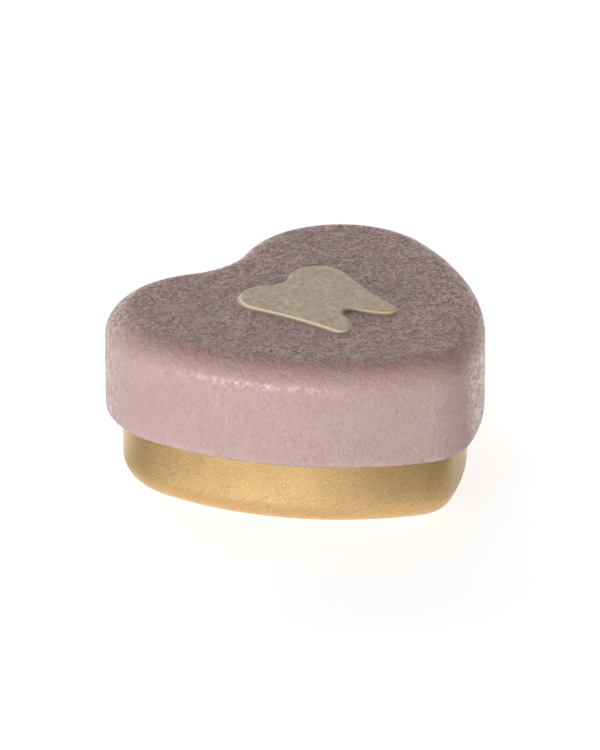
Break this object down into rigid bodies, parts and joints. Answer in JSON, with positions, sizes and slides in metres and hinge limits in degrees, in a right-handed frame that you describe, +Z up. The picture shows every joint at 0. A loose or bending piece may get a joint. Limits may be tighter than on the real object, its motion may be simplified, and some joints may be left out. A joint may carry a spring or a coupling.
{
  "type": "heart-shaped keepsake tin",
  "caption": "Small heart-shaped slip-lid tin for keeping milk teeth: a pink lid with a raised cream tooth in its top and a gold base, both drawn from thin tinplate with rolled edges.",
  "frame": {"origin": "on the table, under the middle of the lid's outline", "axes": "+Z up, the way the lid lifts off; +X across the heart; the heart points to -Y and its notch is at +Y"},
  "size_m": [0.065, 0.06, 0.0303],
  "materials": {
    "lid_lacquer": "dusty pink crackle lacquer on tinplate, satin",
    "tooth_lacquer": "cream lacquer on tinplate, satin, faintly mottled",
    "base_gold": "satin gold lacquer on tinplate, finely grained"
  },
  "bodies": {
    "base": {"base": "base_gold"},
    "lid": {"lid": "lid_lacquer", "raised_tooth": "tooth_lacquer"}
  },
  "joints": [
    {"name": "lid_lift", "type": "slide", "parent": "base", "child": "lid", "axis": [0, 0, 1], "range_m": [0, 0.03]}
  ]
}
